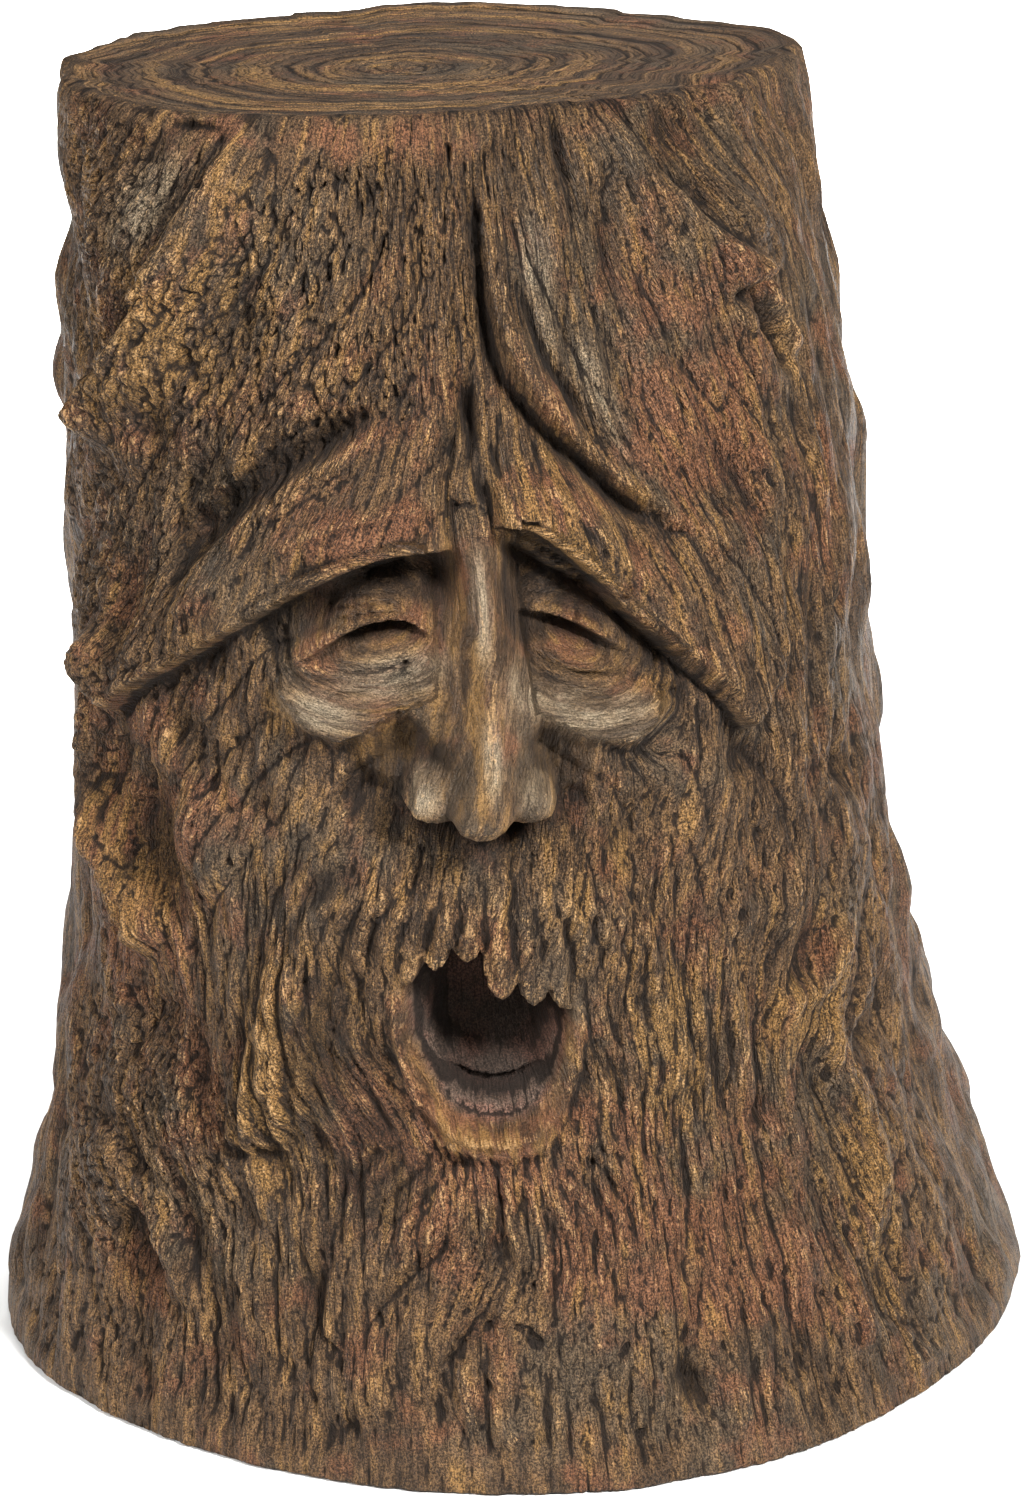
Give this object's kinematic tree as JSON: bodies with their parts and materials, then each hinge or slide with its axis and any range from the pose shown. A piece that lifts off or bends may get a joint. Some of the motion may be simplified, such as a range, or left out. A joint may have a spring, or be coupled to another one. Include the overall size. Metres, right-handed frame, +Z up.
{
  "type": "green man garden stump sculpture",
  "caption": "Cast tree stump with a bearded, open-mouthed tree face carved in its bark, flat underneath and on top, standing by its own weight.",
  "frame": {"origin": "on the floor plane, under the middle of the outline box", "axes": "+Z up to the flat top, -Y out of the face towards the viewer, +X to the viewer's right"},
  "size_m": [0.4164, 0.3946, 0.5],
  "materials": {
    "cast_bark": "hand painted cast resin in dark bark browns, satin, with ochre on raised edges and near-black in the creases"
  },
  "bodies": {
    "root": {"green_man_stump": "cast_bark"}
  },
  "joints": []
}
